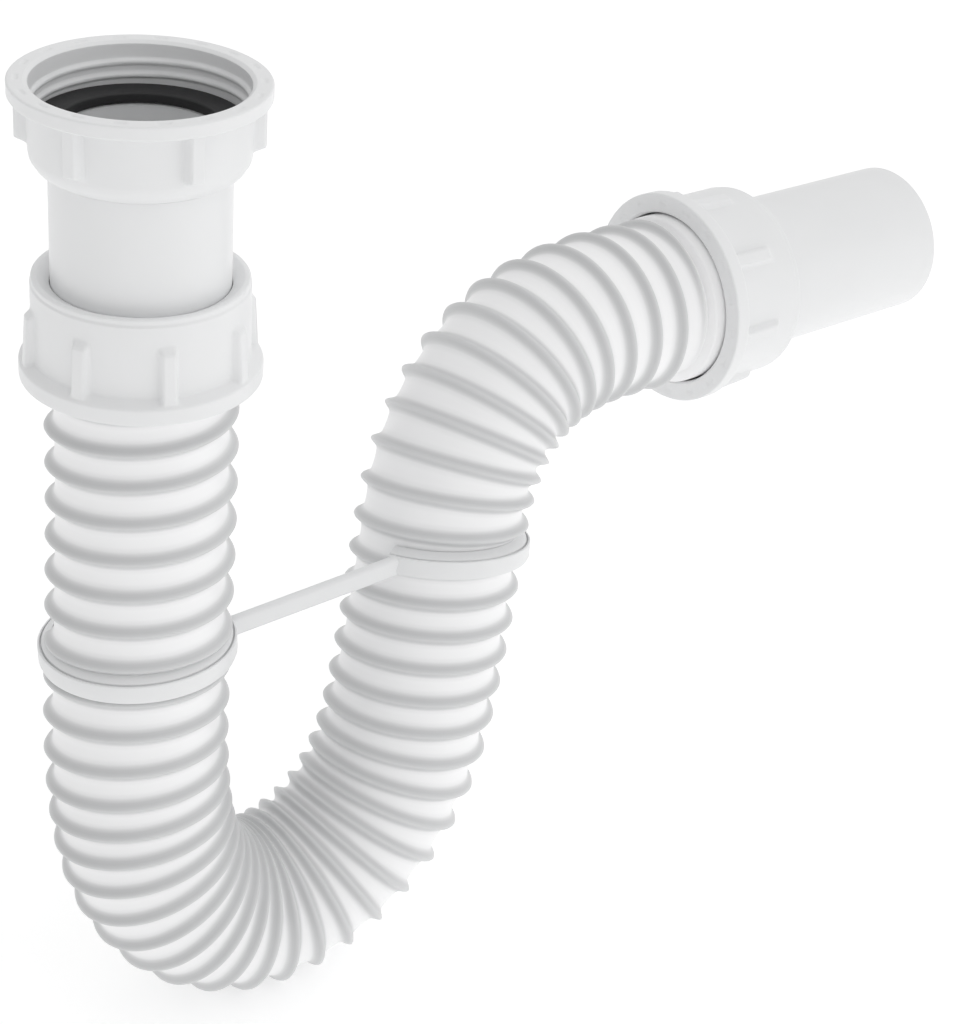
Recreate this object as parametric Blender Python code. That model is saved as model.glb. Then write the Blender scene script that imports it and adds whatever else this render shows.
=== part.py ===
"""Flexible sink trap: union nut inlet, corrugated hose bent into a U, strap and plain outlet spigot.

Lengths are in metres. The origin is the middle of the inlet nut's rim, +Z points up along the inlet and
+X is the way the outlet leaves.
"""
import math

import bmesh
import bpy
import numpy as np
from mathutils import Vector

MM = 0.001

# Fits between the pieces
GAP = 0.3 * MM            # between surfaces that touch on the real trap
SEAL_SIDES = 24
TUBE_SIDES = 32
STRAP_SIDES = 40

# Inlet and outlet tubes
TUBE_R = 20.0 * MM
TUBE_WALL = 2.1 * MM
SPIGOT_TAPER = 0.3 * MM
SPIGOT_REACH = 43.5 * MM   # what shows of the spigot past its nut
TUBE_SHOWS = 20.5 * MM     # what shows of the inlet tube between the two nuts
COLLAR_OUT = 3.3 * MM      # from the tube's surface to the collar's edge
COLLAR_H = 2.4 * MM

# Union nut at the inlet
RIM_OUT = 3.6 * MM         # from the skirt to the rim's edge
RIM_H = 2.8 * MM
UNION_H = 18.3 * MM
UNION_RIB_OUT = 2.5 * MM
UNION_WALL = 0.7 * MM      # of the skirt
UNION_FLOOR_H = 4.5 * MM
UNION_ROUND = 5.0 * MM
UNION_RIBS = 6

# Black washer
WASHER_H = 2.4 * MM
WASHER_IN = 2.8 * MM       # the washer's bore is this much less than the tube's radius

# Compression nuts
SEAL_ROOM = 2.8 * MM       # from the tube's surface to the nut's bore
NUT_WALL = 1.7 * MM
NUT_IN_H = 30.2 * MM
NUT_OUT_H = 38.6 * MM
NUT_SHOULDER_H = 7.4 * MM
NUT_LIP_H = 2.6 * MM
ROOF_DROP = 9.0 * MM       # from a nut's mouth down to the foot of its conical roof
FLANGE_OUT = 2.7 * MM      # from the nut's body to its flange's edge
FLANGE_H = 4.9 * MM
NUT_RIB_OUT = 1.6 * MM
NUT_RIB_TOP = 13.4 * MM
NUT_RIBS = 8
RIB_HALF = 2.0 * MM        # half the width of a grip rib

# Corrugated hose
HOSE_R = 22.1 * MM         # crests of the corrugation
HOSE_DEPTH = 2.4 * MM
HOSE_WALL = 1.3 * MM
HOSE_SIDES = 16
ROOT_R = HOSE_R - HOSE_DEPTH
HOSE_LENGTH = 386.0 * MM   # along its middle, from nut to nut
CUFF_DROP = 14.0 * MM      # from a nut's mouth down to the mouth of the cuff in it
CUFF_FOOT = 1.2 * MM       # the cuff's shoulder sits this far inside the nut
TUBE_STOP = 3.0 * MM       # a tube ends this far above its nut's flange face

# Route of the hose from the inlet: share of the length, turn from straight down towards +X in degrees,
# and turn towards +Y in degrees
ROUTE = (
    (0.000, 0, 0.0), (0.039, -2, -3.0), (0.130, -4, -4.0), (0.246, -3, -6.5), (0.316, 10, -6.5),
    (0.383, 46, -4.5), (0.453, 98, -2.5), (0.523, 134, 0.0), (0.601, 163, 3.0), (0.679, 167, 6.0),
    (0.756, 165, 7.0), (0.824, 139, 5.5), (0.891, 105, 3.0), (0.953, 88, 1.0), (1.000, 90, 0.0),
)
# Pitch of the corrugation along the route: share of the length, pitch
PITCHES = (
    (0.00, 9.3 * MM), (0.23, 9.2 * MM), (0.29, 6.9 * MM), (0.43, 6.4 * MM), (0.52, 8.1 * MM),
    (0.64, 8.4 * MM), (0.75, 8.6 * MM), (0.82, 7.0 * MM), (0.88, 6.7 * MM), (0.93, 8.9 * MM),
    (1.00, 9.3 * MM),
)
FIRST_TURN = -1.04         # where on its helix the corrugation starts
SQUASH = 0.6               # what the strap leaves of the corrugation's depth

# Strap
BAND_WALL = 1.3 * MM
BAND_H = 5.4 * MM
STRUT_WALL = 2.2 * MM
RING_AT = 0.182            # share of the hose length at the closed ring
HOOK_AT = 0.738            # the same for the open hook
RING_AXIS = (-0.04, 0.0, 1.0)
HOOK_AXIS = (0.124, 0.006, 1.0)
RING_STRUT_DEG = -15.4     # where the strut leaves the ring, about its axis from +X
HOOK_STRUT_DEG = 207.0     # where it meets the hook
HOOK_OPEN_DEG = 95.0

# Radii and heights that follow from the sizes above
COLLAR_R = TUBE_R + COLLAR_OUT
UNION_SKIRT_R = COLLAR_R + GAP + UNION_WALL
UNION_RIB_R = UNION_SKIRT_R + UNION_RIB_OUT
RIM_R = UNION_SKIRT_R + RIM_OUT
WASHER_BORE_R = TUBE_R - WASHER_IN
SPIGOT_END_R = TUBE_R - SPIGOT_TAPER
NUT_BORE_R = TUBE_R + SEAL_ROOM
NUT_BODY_R = NUT_BORE_R + NUT_WALL
NUT_RIB_R = NUT_BODY_R + NUT_RIB_OUT
FLANGE_R = NUT_BODY_R + FLANGE_OUT
BAND_R = HOSE_R + GAP + BAND_WALL
UNION_FLOOR_Z = -(UNION_H - UNION_FLOOR_H)
NUT_IN_MOUTH_Z = -(UNION_H + TUBE_SHOWS)
NUT_IN_FACE_Z = NUT_IN_MOUTH_Z - NUT_IN_H


def flat(sides):
    """Share of its corner radius that a polygon with these sides keeps at its flats."""
    return math.cos(math.pi / sides)


def smooth(value, low, high):
    """Goes from 0 at low to 1 at high without a corner."""
    share = np.clip((value - low) / (high - low), 0.0, 1.0)
    return share * share * (3.0 - 2.0 * share)


def through(stations, at):
    """Smooth curve through (place, value) stations, level at both ends."""
    places = np.array([row[0] for row in stations])
    values = np.array([row[1] for row in stations], float)
    slopes = np.gradient(values, places)
    slopes[0] = slopes[-1] = 0.0
    left = np.clip(np.searchsorted(places, at, side="right") - 1, 0, len(places) - 2)
    width = places[left + 1] - places[left]
    part = np.clip((at - places[left]) / width, 0.0, 1.0)
    rest = 1.0 - part
    return ((1 + 2 * part) * rest ** 2 * values[left] + part * rest ** 2 * width * slopes[left]
            + part ** 2 * (3 - 2 * part) * values[left + 1] - part ** 2 * rest * width * slopes[left + 1])


class Route:
    """Middle line of the hose, with the turns of its corrugation counted along it."""

    STEPS = 1544

    def __init__(self):
        share = np.linspace(0.0, 1.0, self.STEPS + 1)
        turn = np.radians(through([(row[0], row[1]) for row in ROUTE], share))
        side = np.radians(through([(row[0], row[2]) for row in ROUTE], share))
        self.tangents = np.stack([np.sin(turn) * np.cos(side), np.sin(side), -np.cos(turn) * np.cos(side)], 1)
        step = HOSE_LENGTH / self.STEPS
        moves = (self.tangents[1:] + self.tangents[:-1]) / 2 * step
        self.points = np.concatenate([np.zeros((1, 3)), np.cumsum(moves, 0)]) + (0, 0, NUT_IN_FACE_Z)
        self.places = share * HOSE_LENGTH
        rate = 1.0 / through(PITCHES, share)
        turns = np.concatenate([[0.0], np.cumsum((rate[1:] + rate[:-1]) / 2 * step)])
        self.turns = turns + FIRST_TURN

    def frame(self, place):
        """Point, tangent, and the two directions across the hose; straight past both ends."""
        inside = min(max(place, 0.0), HOSE_LENGTH)
        point = np.array([np.interp(inside, self.places, self.points[:, k]) for k in range(3)])
        tangent = np.array([np.interp(inside, self.places, self.tangents[:, k]) for k in range(3)])
        tangent /= np.linalg.norm(tangent)
        point = point + tangent * (place - inside)
        front = np.array((0.0, -1.0, 0.0)) + tangent[1] * tangent
        front /= np.linalg.norm(front)
        return point, tangent, front, np.cross(tangent, front)

    def turn_at(self, place):
        return float(np.interp(place, self.places, self.turns))

    def place_of(self, turn):
        return float(np.interp(turn, self.turns, self.places))

    def corrugation(self, place):
        """Share of the full depth: none at the cuffs, less under the strap."""
        depth = smooth(place, 1.0 * MM, 4.0 * MM) * smooth(HOSE_LENGTH - place, 1.0 * MM, 4.0 * MM)
        for share in (RING_AT, HOOK_AT):
            away = abs(place - share * HOSE_LENGTH)
            depth = depth * (SQUASH + (1.0 - SQUASH) * smooth(away, 6.5 * MM, 9.0 * MM))
        return float(depth)


def material(name, colour, roughness):
    made = bpy.data.materials.new(name)
    made.use_nodes = True
    shader = made.node_tree.nodes["Principled BSDF"]
    shader.inputs["Base Color"].default_value = (*colour, 1.0)
    shader.inputs["Roughness"].default_value = roughness
    return made


def add_object(name, vertices, faces, surface, smooth_below=40.0):
    mesh = bpy.data.meshes.new(name)
    mesh.from_pydata([tuple(v) for v in vertices], [], faces)
    mesh.validate()
    mesh.materials.append(surface)
    mesh.shade_smooth()
    mesh.set_sharp_from_angle(angle=math.radians(smooth_below))
    made = bpy.data.objects.new(name, mesh)
    bpy.context.scene.collection.objects.link(made)
    return made


def turned(name, section, angles, surface, reach=None):
    """Closed section of (radius, height) rows turned round Z, outer rows first and from the top down.

    reach(row, angle) gives a row's radius at an angle where that isn't the row's own.
    """
    vertices = []
    for angle in angles:
        for index, (radius, height) in enumerate(section):
            out = reach(index, angle) if reach else radius
            vertices.append((out * math.cos(angle), out * math.sin(angle), height))
    rows = len(section)
    count = len(angles)
    faces = []
    for k in range(count):
        here = k * rows
        following = (k + 1) % count * rows
        for i in range(rows):
            j = (i + 1) % rows
            faces.append((here + i, here + j, following + j, following + i))
    return add_object(name, vertices, faces, surface)


def even_angles(sides):
    return [2 * math.pi * k / sides for k in range(sides)]


def ribbed_angles(ribs, radius, between, first=0.0):
    """Angles of a nut's columns: four across each rib and a few between ribs."""
    half = RIB_HALF / radius
    sector = 2 * math.pi / ribs
    angles = []
    for k in range(ribs):
        middle = first + k * sector
        angles += [middle - half, middle - 0.6 * half, middle + 0.6 * half, middle + half]
        for m in range(1, between + 1):
            angles.append(middle + half + (sector - 2 * half) * m / (between + 1))
    return angles


def on_rib(angle, ribs, radius, first=0.0):
    """1 on the top of a rib, 0 off it."""
    sector = 2 * math.pi / ribs
    off = abs((angle - first + sector / 2) % sector - sector / 2)
    return 1.0 if off < 0.8 * RIB_HALF / radius else 0.0


def inlet_nut(surface):
    """Union nut: rim at the top, threaded mouth and a floor that the tube's collar rests on."""
    between = 2
    widest = (2 * math.pi / UNION_RIBS - 2 * RIB_HALF / UNION_SKIRT_R) / (between + 1)
    keep = math.cos(widest / 2)
    bore = COLLAR_R + GAP
    hole = (TUBE_R + GAP) / keep
    skirt_foot = UNION_SKIRT_R - 0.3 * MM
    bend = -(UNION_H - UNION_ROUND)
    section = [
        (RIM_R - 0.4 * MM, 0.0),
        (RIM_R, -0.4 * MM),
        (RIM_R, -(RIM_H - 0.4 * MM)),
        (RIM_R - 0.4 * MM, -RIM_H),
        (UNION_SKIRT_R, -RIM_H),
        (UNION_SKIRT_R - 0.2 * MM, bend + 1.8 * MM),
        (skirt_foot, bend),
    ]
    for degrees in (30, 58, 80):
        angle = math.radians(degrees)
        inward = (skirt_foot - hole - 0.3 * MM) * (1 - math.cos(angle))
        section.append((skirt_foot - inward, bend - UNION_ROUND * math.sin(angle)))
    section += [
        (hole + 0.2 * MM, -UNION_H),
        (hole, -UNION_H + 0.5 * MM),
        (hole, UNION_FLOOR_Z),
        (bore / keep, UNION_FLOOR_Z),
        (bore / keep, -0.7 * MM),
        (bore / keep + 0.5 * MM, 0.0),
    ]
    ribbed = {4: UNION_RIB_R, 5: UNION_RIB_R}

    def reach(index, angle):
        own = section[index][0]
        if index in ribbed and on_rib(angle, UNION_RIBS, UNION_SKIRT_R, math.radians(15)):
            return ribbed[index]
        return own

    angles = ribbed_angles(UNION_RIBS, UNION_SKIRT_R, between, math.radians(15))
    return turned("inlet_nut", section, angles, surface, reach)


def inlet_washer(surface):
    """Flat rubber washer on the tube's collar."""
    low = UNION_FLOOR_Z + GAP + COLLAR_H + GAP
    top = low + WASHER_H
    outer = COLLAR_R
    section = [
        (outer, top), (outer, low), (WASHER_BORE_R, low), (WASHER_BORE_R, top - 0.3 * MM),
        (WASHER_BORE_R + 0.3 * MM, top),
    ]
    return turned("inlet_washer", section, even_angles(TUBE_SIDES), surface)


def inlet_tube(surface):
    """Plain tube with a collar that hangs it in the union nut."""
    bore = TUBE_R - TUBE_WALL
    low = NUT_IN_FACE_Z + TUBE_STOP
    collar = UNION_FLOOR_Z + GAP
    section = [
        (COLLAR_R, collar + COLLAR_H), (COLLAR_R, collar), (TUBE_R, collar), (TUBE_R, low + 0.8 * MM),
        (TUBE_R - 0.8 * MM, low), (bore, low), (bore, collar + COLLAR_H),
    ]
    return turned("inlet_tube", section, even_angles(TUBE_SIDES), surface)


def nut_section(height, keep):
    """Section of a compression nut, flange face at height 0 and mouth at the top."""
    hole = (TUBE_R + GAP) / keep
    lip = hole + 0.9 * MM
    shoulder = height - NUT_SHOULDER_H
    section = [(lip, height)]
    for degrees in (66, 42, 20, 0):
        angle = math.radians(degrees)
        radius = lip + 0.4 * MM + (NUT_BODY_R - lip - 0.4 * MM) * math.cos(angle)
        section.append((radius, shoulder + NUT_SHOULDER_H * math.sin(angle)))
    section += [
        (NUT_BODY_R, NUT_RIB_TOP),
        (NUT_BODY_R, NUT_RIB_TOP - 1.2 * MM),
        (NUT_BODY_R, FLANGE_H + 0.4 * MM),
        (FLANGE_R - 0.5 * MM, FLANGE_H - 0.6 * MM),
        (FLANGE_R, FLANGE_H - 1.2 * MM),
        (FLANGE_R, 0.5 * MM),
        (FLANGE_R - 0.5 * MM, 0.0),
        (NUT_BORE_R + 0.4 * MM, 0.0),
        (NUT_BORE_R, 0.5 * MM),
        (NUT_BORE_R, height - ROOF_DROP),
        (hole, height - ROOF_DROP + (NUT_BORE_R - hole)),
        (hole, height - NUT_LIP_H / 2),
    ]
    return section


def compression_nut(name, height, surface):
    """Nut that squeezes the cone seal on the tube; grip ribs run on to its flange."""
    between = 1
    widest = (2 * math.pi / NUT_RIBS - 2 * RIB_HALF / NUT_BODY_R) / (between + 1)
    section = nut_section(height, math.cos(widest / 2))
    first = math.radians(7)
    ribbed = (6, 7)

    def reach(index, angle):
        own = section[index][0]
        if index in ribbed and on_rib(angle, NUT_RIBS, NUT_BODY_R, first):
            return NUT_RIB_R + (0.4 * MM if index == 7 else 0.0)
        return own

    angles = ribbed_angles(NUT_RIBS, NUT_BODY_R, between, first)
    return turned(name, section, angles, surface, reach)


def cone_seal(name, height, surface):
    """Rubber cone between the cuff's mouth and the nut's conical roof."""
    low = height - CUFF_DROP + GAP
    inner = (TUBE_R + GAP) / flat(SEAL_SIDES)
    outer = NUT_BORE_R - GAP - 0.4 * MM
    shoulder = height - ROOF_DROP - GAP
    section = [
        (inner + 0.4 * MM, shoulder + (outer - inner) - 0.8 * MM), (outer, shoulder - 0.4 * MM),
        (outer, low), (inner, low), (inner, shoulder + (outer - inner) - 0.8 * MM),
    ]
    return turned(name, section, even_angles(SEAL_SIDES), surface)


def outlet_spigot(surface):
    """Plain outlet tube that tapers a little to its round-edged end."""
    top = NUT_OUT_H + SPIGOT_REACH
    bore = TUBE_R - TUBE_WALL
    section = [
        (SPIGOT_END_R - 0.8 * MM, top), (SPIGOT_END_R - 0.2 * MM, top - 0.3 * MM),
        (SPIGOT_END_R, top - 1.0 * MM), (TUBE_R, NUT_OUT_H), (TUBE_R, TUBE_STOP + 0.8 * MM),
        (TUBE_R - 0.8 * MM, TUBE_STOP), (bore, TUBE_STOP), (bore - 0.2 * MM, top),
    ]
    return turned("outlet_spigot", section, even_angles(TUBE_SIDES), surface)


def hose_columns(route, rows, start, stop):
    """Places of a skin's helical rows in each column: lists of (turn on the helix, place, radius)."""
    columns = []
    for k in range(HOSE_SIDES + 1):
        share = k / HOSE_SIDES
        column = []
        first = math.floor(route.turn_at(start) - share) - 1
        last = math.ceil(route.turn_at(stop) - share) + 1
        for turn in range(first, last + 1):
            for offset, root, crest in rows:
                place = route.place_of(turn + offset + share)
                if start + 0.7 * MM < place < stop - 0.7 * MM:
                    radius = root + (crest - root) * route.corrugation(place)
                    column.append((turn + offset, place, radius))
        columns.append(column)
    return columns


def zip_columns(left, right):
    """Triangles between two columns of (turn, vertex), both sorted along the hose."""
    triangles = []
    i = j = 0
    while i < len(left) - 1 or j < len(right) - 1:
        if j == len(right) - 1 or (i < len(left) - 1 and left[i + 1][0] <= right[j + 1][0]):
            triangles.append((left[i][1], right[j][1], left[i + 1][1]))
            i += 1
        else:
            triangles.append((left[i][1], right[j][1], right[j + 1][1]))
            j += 1
    return triangles


def hose_skin(route, rows, start_rings, stop_rings, vertices):
    """One skin of the hose with faces out: rings at its start, the helical rows, rings at its stop."""
    faces = []

    def vertex(place, radius, k):
        point, _, front, across = route.frame(place)
        angle = 2 * math.pi * k / HOSE_SIDES
        vertices.append(point + radius * (front * math.cos(angle) + across * math.sin(angle)))
        return len(vertices) - 1

    def rings_of(list_of_rings):
        return [[vertex(place, radius, k) for k in range(HOSE_SIDES)] for place, radius in list_of_rings]

    def join(rings):
        for low, high in zip(rings, rings[1:]):
            for k in range(HOSE_SIDES):
                m = (k + 1) % HOSE_SIDES
                faces.append((low[k], low[m], high[m], high[k]))

    starts = rings_of(start_rings)
    stops = rings_of(stop_rings)
    join(starts)
    join(stops)
    columns = hose_columns(route, rows, start_rings[-1][0], stop_rings[0][0])
    made = []
    for k in range(HOSE_SIDES):
        inner = [(turn, vertex(place, radius, k)) for turn, place, radius in columns[k]]
        made.append([(-1e9, starts[-1][k])] + inner + [(1e9, stops[0][k])])
    for k in range(HOSE_SIDES):
        if k + 1 < HOSE_SIDES:
            following = made[k + 1]
        else:
            following = [made[0][0]] + [(turn - 1, index) for turn, index in made[0][1:-1]] + [made[0][-1]]
        faces.extend(zip_columns(made[k], following))
    return faces, starts[0], stops[-1]


def flexible_hose(route, surface):
    """Hose moulding: a helical corrugation between two plain cuffs that the nuts screw on."""
    keep = flat(HOSE_SIDES)
    cuff_r = (NUT_BORE_R - GAP) * math.cos((2 * math.pi / NUT_RIBS - 2 * RIB_HALF / NUT_BODY_R) / 4)
    bore = (TUBE_R + GAP) / keep
    inside = ROOT_R - HOSE_WALL
    mouth_in = -(NUT_IN_H - CUFF_DROP)
    mouth_out = HOSE_LENGTH + NUT_OUT_H - CUFF_DROP
    end = HOSE_LENGTH
    start_out = [
        (mouth_in, cuff_r - 0.5 * MM), (mouth_in + 0.5 * MM, cuff_r), (-CUFF_FOOT, cuff_r),
        (-CUFF_FOOT, ROOT_R), (1.0 * MM, ROOT_R),
    ]
    stop_out = [
        (end - 1.0 * MM, ROOT_R), (end + CUFF_FOOT, ROOT_R), (end + CUFF_FOOT, cuff_r),
        (mouth_out - 0.5 * MM, cuff_r), (mouth_out, cuff_r - 0.5 * MM),
    ]
    foot = TUBE_STOP - 0.5 * MM
    start_in = [(mouth_in, bore), (-foot, bore), (-foot, inside), (1.0 * MM, inside)]
    stop_in = [(end - 1.0 * MM, inside), (end + foot, inside), (end + foot, bore), (mouth_out, bore)]
    outer_rows = [(-0.2, ROOT_R, HOSE_R), (0.2, ROOT_R, HOSE_R), (0.5, ROOT_R, ROOT_R)]
    inner_rows = [(0.0, inside, inside + 0.75 * HOSE_DEPTH), (0.5, inside, inside)]
    vertices = []
    outer, first_out, last_out = hose_skin(route, outer_rows, start_out, stop_out, vertices)
    inner, first_in, last_in = hose_skin(route, inner_rows, start_in, stop_in, vertices)
    faces = list(outer)
    faces += [tuple(reversed(face)) for face in inner]
    for k in range(HOSE_SIDES):
        m = (k + 1) % HOSE_SIDES
        faces.append((first_in[k], first_in[m], first_out[m], first_out[k]))
        faces.append((last_out[k], last_out[m], last_in[m], last_in[k]))
    return add_object("flexible_hose", vertices, faces, surface, 60.0)


def band(centre, axis, start_deg, sweep_deg, surface):
    """Flat band round an axis, closed when it sweeps a full turn."""
    up = Vector(axis).normalized()
    along = (Vector((1, 0, 0)) - up * up.x).normalized()
    across = up.cross(along)
    closed = sweep_deg >= 360.0
    count = max(8, round(STRAP_SIDES * sweep_deg / 360.0))
    inner = BAND_R - BAND_WALL
    half = BAND_H / 2
    section = [
        (BAND_R - 0.3 * MM, half), (BAND_R, half - 0.3 * MM), (BAND_R, 0.8 * MM - half),
        (BAND_R - 0.8 * MM, -half), (inner, -half), (inner, half),
    ]
    vertices = []
    for k in range(count if closed else count + 1):
        angle = math.radians(start_deg + sweep_deg * k / count)
        out = along * math.cos(angle) + across * math.sin(angle)
        for radius, height in section:
            vertices.append(centre + out * radius + up * height)
    rows = len(section)
    total = len(vertices) // rows
    faces = []
    for k in range(total if closed else total - 1):
        here = k * rows
        following = (k + 1) % total * rows
        for i in range(rows):
            j = (i + 1) % rows
            faces.append((here + i, here + j, following + j, following + i))
    if not closed:
        faces.append(tuple(reversed(range(rows))))
        faces.append(tuple(range((total - 1) * rows, total * rows)))
    return add_object("u_bend_strap", vertices, faces, surface)


def strut(start, stop, surface):
    """Straight bar between the two bands, its wide side upright."""
    along = (stop - start).normalized()
    level = Vector((0, 0, 1)).cross(along).normalized()
    up = along.cross(level)
    half = BAND_H / 2
    outline = [
        (STRUT_WALL / 2, half), (-STRUT_WALL / 2, half), (-STRUT_WALL / 2, 0.8 * MM - half),
        (0.4 * MM - STRUT_WALL / 2, -half), (STRUT_WALL / 2 - 0.4 * MM, -half),
        (STRUT_WALL / 2, 0.8 * MM - half),
    ]
    vertices = [end + level * side + up * height for end in (start, stop) for side, height in outline]
    count = len(outline)
    faces = [tuple(reversed(range(count))), tuple(range(count, 2 * count))]
    for i in range(count):
        j = (i + 1) % count
        faces.append((i, j, count + j, count + i))
    return add_object("strut", vertices, faces, surface)


def join_solids(base, extra):
    """Adds the extra solid to the base by a Boolean and removes it."""
    step = base.modifiers.new("join", "BOOLEAN")
    step.operation = "UNION"
    step.solver = "EXACT"
    step.object = extra
    bpy.context.view_layer.update()
    shape = bpy.data.meshes.new_from_object(base.evaluated_get(bpy.context.evaluated_depsgraph_get()))
    base.modifiers.remove(step)
    base.data = shape
    bpy.data.objects.remove(extra, do_unlink=True)


def u_bend_strap(route, surface):
    """Closed ring on the straight leg, open hook on the leaning leg and a strut between them."""
    ring_centre = Vector(route.frame(RING_AT * HOSE_LENGTH)[0])
    hook_centre = Vector(route.frame(HOOK_AT * HOSE_LENGTH)[0])
    ring = band(ring_centre, RING_AXIS, 0.0, 360.0, surface)
    hook = band(hook_centre, HOOK_AXIS, HOOK_STRUT_DEG - 6.0, 360.0 - HOOK_OPEN_DEG, surface)

    def on_band(centre, axis, degrees, radius):
        up = Vector(axis).normalized()
        along = (Vector((1, 0, 0)) - up * up.x).normalized()
        angle = math.radians(degrees)
        return centre + (along * math.cos(angle) + up.cross(along) * math.sin(angle)) * radius

    middle = BAND_R - 0.5 * BAND_WALL
    start = on_band(ring_centre, RING_AXIS, RING_STRUT_DEG, middle)
    stop = on_band(hook_centre, HOOK_AXIS, HOOK_STRUT_DEG, middle + 0.2 * MM)
    bar = strut(start, stop, surface)
    join_solids(ring, bar)
    join_solids(ring, hook)
    ring.name = "u_bend_strap"
    ring.data.name = "u_bend_strap"
    return ring


def stand_on(made, point, axis):
    """Moves an object so that its own Z axis starts at a point and runs along an axis."""
    turn = Vector((0, 0, 1)).rotation_difference(Vector(axis)).to_matrix().to_4x4()
    made.data.transform(turn)
    made.location = Vector(point)


def main():
    for old in list(bpy.data.objects):
        bpy.data.objects.remove(old, do_unlink=True)
    route = Route()
    union_white = material("nut_white", (0.86, 0.87, 0.88), 0.42)
    tube_white = material("tube_white", (0.86, 0.87, 0.88), 0.38)
    hose_white = material("hose_white", (0.85, 0.86, 0.87), 0.45)
    strap_white = material("strap_white", (0.84, 0.85, 0.86), 0.45)
    black = material("washer_black", (0.03, 0.03, 0.03), 0.7)
    grey = material("seal_grey", (0.16, 0.16, 0.17), 0.7)

    inlet_nut(union_white)
    inlet_washer(black)
    inlet_tube(tube_white)
    flexible_hose(route, hose_white)
    u_bend_strap(route, strap_white)

    down = (0.0, 0.0, NUT_IN_FACE_Z)
    stand_on(compression_nut("inlet_compression_nut", NUT_IN_H, union_white), down, (0, 0, 1))
    stand_on(cone_seal("inlet_seal", NUT_IN_H, grey), down, (0, 0, 1))
    end, heading, _, _ = route.frame(HOSE_LENGTH)
    stand_on(compression_nut("outlet_compression_nut", NUT_OUT_H, union_white), end, heading)
    stand_on(cone_seal("outlet_seal", NUT_OUT_H, grey), end, heading)
    stand_on(outlet_spigot(tube_white), end, heading)


main()
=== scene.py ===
"""Looks of the flexible sink trap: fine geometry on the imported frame, studio light and camera.

Lengths are in metres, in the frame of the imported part: the origin is the middle of the inlet nut's rim,
+Z points up along the inlet and +X is the way the outlet leaves.
"""
import math

import bpy
import numpy as np
from mathutils import Matrix, Vector


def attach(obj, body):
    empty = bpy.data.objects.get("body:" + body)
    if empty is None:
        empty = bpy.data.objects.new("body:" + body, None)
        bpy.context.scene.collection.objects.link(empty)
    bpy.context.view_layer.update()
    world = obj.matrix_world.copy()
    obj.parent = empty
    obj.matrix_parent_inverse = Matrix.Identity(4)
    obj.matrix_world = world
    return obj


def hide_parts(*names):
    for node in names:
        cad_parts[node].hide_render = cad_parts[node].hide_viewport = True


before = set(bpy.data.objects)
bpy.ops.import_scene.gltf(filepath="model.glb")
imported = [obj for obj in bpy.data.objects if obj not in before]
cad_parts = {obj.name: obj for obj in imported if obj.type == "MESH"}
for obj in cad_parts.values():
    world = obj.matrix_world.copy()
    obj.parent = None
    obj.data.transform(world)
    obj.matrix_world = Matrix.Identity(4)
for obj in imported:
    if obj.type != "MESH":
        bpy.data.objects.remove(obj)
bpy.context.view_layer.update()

MM = 0.001

# Inlet and outlet tubes
TUBE_R = 20.0 * MM
TUBE_BORE_R = 17.9 * MM
SPIGOT_END_R = 19.7 * MM
SPIGOT_FOOT = 3 * MM
SPIGOT_TOP = 82.1 * MM
COLLAR_R = 23.3 * MM
COLLAR_Z = -14.7 * MM
COLLAR_H = 2.4 * MM
TUBE_FOOT_Z = -66.0 * MM

# Union nut
RIM_R = 28.3 * MM
RIM_H = 3.2 * MM
UNION_H = 20.0 * MM
UNION_SKIRT_R = 24.4 * MM
UNION_RIB_R = 26.9 * MM
UNION_BORE_R = 23.7 * MM
UNION_FLOOR_Z = -15.0 * MM
UNION_RIBS = 6
UNION_FIRST_RIB = math.radians(25.0)
UNION_RIB_FOOT = 15.2 * MM
THREAD_PITCH = 2.95 * MM
THREAD_DEPTH = 0.75 * MM
THREAD_START = 2.9 * MM
THREAD_END = 9.4 * MM
THREAD_PHASE = 0.08
DASHES = 18

# Washer
WASHER_BORE_R = 17.2 * MM
WASHER_R = 23.4 * MM
WASHER_LOW_Z = -12.0 * MM
WASHER_H = 2.4 * MM

# Compression nuts, the outlet one a little larger
NUT_IN_Z = -69.0 * MM
NUT_IN_H = 24.0 * MM
NUT_IN_R = 24.4 * MM
FLANGE_IN_R = 27.3 * MM
NUT_OUT_H = 25.2 * MM
NUT_OUT_R = 25.1 * MM
FLANGE_OUT_R = 27.9 * MM
NUT_BORE_R = 22.75 * MM
HOLE_R = 20.15 * MM
NUT_ROOF = 2.6 * MM
NUT_LIP_H = 1.5 * MM
NUT_DISH = 1.5 * MM
FLANGE_EDGE_H = 3.9 * MM
FLANGE_FOOT_H = 5.4 * MM
NUT_RIBS = 8
NUT_RIB_TOP = 17.6 * MM
FIRST_RIB_IN = math.radians(27.3)
FIRST_RIB_OUT = math.radians(4.3)
RIB_HALF = 2.0 * MM
SEAL_R = 22.1 * MM

# Corrugated hose
CREST_R = 22.1 * MM
VALLEY_R = 19.7 * MM
TROUGH_LIFT = 0.5 * MM
RIDGE_HALF = 1.3 * MM
RIDGE_FOOT = 1.95 * MM
OUTER_FLANK = (0.0, 0.45 * MM, 0.9 * MM, 1.3 * MM, 1.75 * MM, 2.3 * MM)
INNER_FLANK = (0.0, 0.9 * MM, 2.3 * MM)
INNER_DEPTH = 0.8
HOSE_WALL = 1.3 * MM
HOSE_COLUMNS = 96
TROUGH_STEPS = 3
HOSE_LENGTH = 386.0 * MM
FIRST_TURN = -1.47
# The plain rings at a mouth count as turns far past all real ones
MOUTH_TURN = 1000.0
CUFF_R = 22.2 * MM
CUFF_BORE_R = 20.4 * MM
CUFF_DROP = 7.8 * MM

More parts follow.
